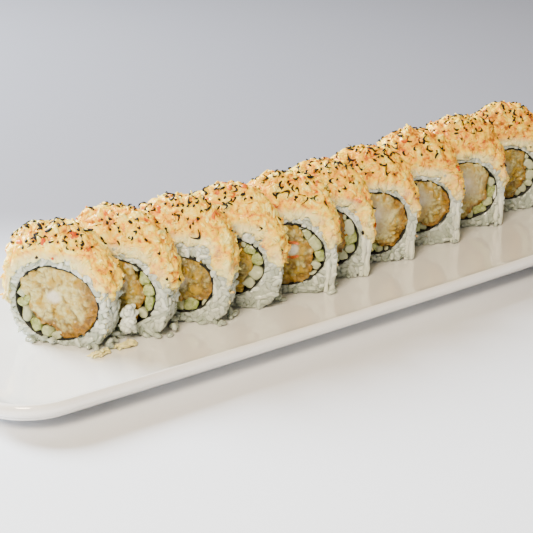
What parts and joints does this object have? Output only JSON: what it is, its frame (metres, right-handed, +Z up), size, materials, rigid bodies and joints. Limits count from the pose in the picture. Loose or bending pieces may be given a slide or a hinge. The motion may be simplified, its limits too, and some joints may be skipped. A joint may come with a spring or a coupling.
{
  "type": "volcano roll on a plate",
  "caption": "Sushi roll cut into thick slices under a heaped shredded topping, fanned in a slanting row along a long low porcelain plate.",
  "frame": {"origin": "on the table, under the middle of the plate", "axes": "+X along the plate's long side, +Y away from the side that the cut faces look to, +Z up"},
  "size_m": [0.42, 0.143, 0.0684],
  "materials": {
    "porcelain": "glossy white glaze",
    "rice": null,
    "nori": null,
    "cucumber": null,
    "prawn": null,
    "topping": null
  },
  "bodies": {
    "root": {"plate": "porcelain", "rice_1": "rice", "nori_1": "nori", "cucumber_1": "cucumber", "prawn_1": "prawn", "topping_1": "topping", "rice_2": "rice", "nori_2": "nori", "cucumber_2": "cucumber", "prawn_2": "prawn", "topping_2": "topping", "rice_3": "rice", "nori_3": "nori", "cucumber_3": "cucumber", "prawn_3": "prawn", "topping_3": "topping", "rice_4": "rice", "nori_4": "nori", "cucumber_4": "cucumber", "prawn_4": "prawn", "topping_4": "topping", "rice_5": "rice", "nori_5": "nori", "cucumber_5": "cucumber", "prawn_5": "prawn", "topping_5": "topping", "rice_6": "rice", "nori_6": "nori", "cucumber_6": "cucumber", "prawn_6": "prawn", "topping_6": "topping", "rice_7": "rice", "nori_7": "nori", "cucumber_7": "cucumber", "prawn_7": "prawn", "topping_7": "topping", "rice_8": "rice", "nori_8": "nori", "cucumber_8": "cucumber", "prawn_8": "prawn", "topping_8": "topping", "rice_9": "rice", "nori_9": "nori", "cucumber_9": "cucumber", "prawn_9": "prawn", "topping_9": "topping", "rice_10": "rice", "nori_10": "nori", "cucumber_10": "cucumber", "prawn_10": "prawn", "topping_10": "topping", "fallen_shred_1": "topping", "fallen_shred_2": "topping", "rice_clump": "rice"}
  },
  "joints": []
}
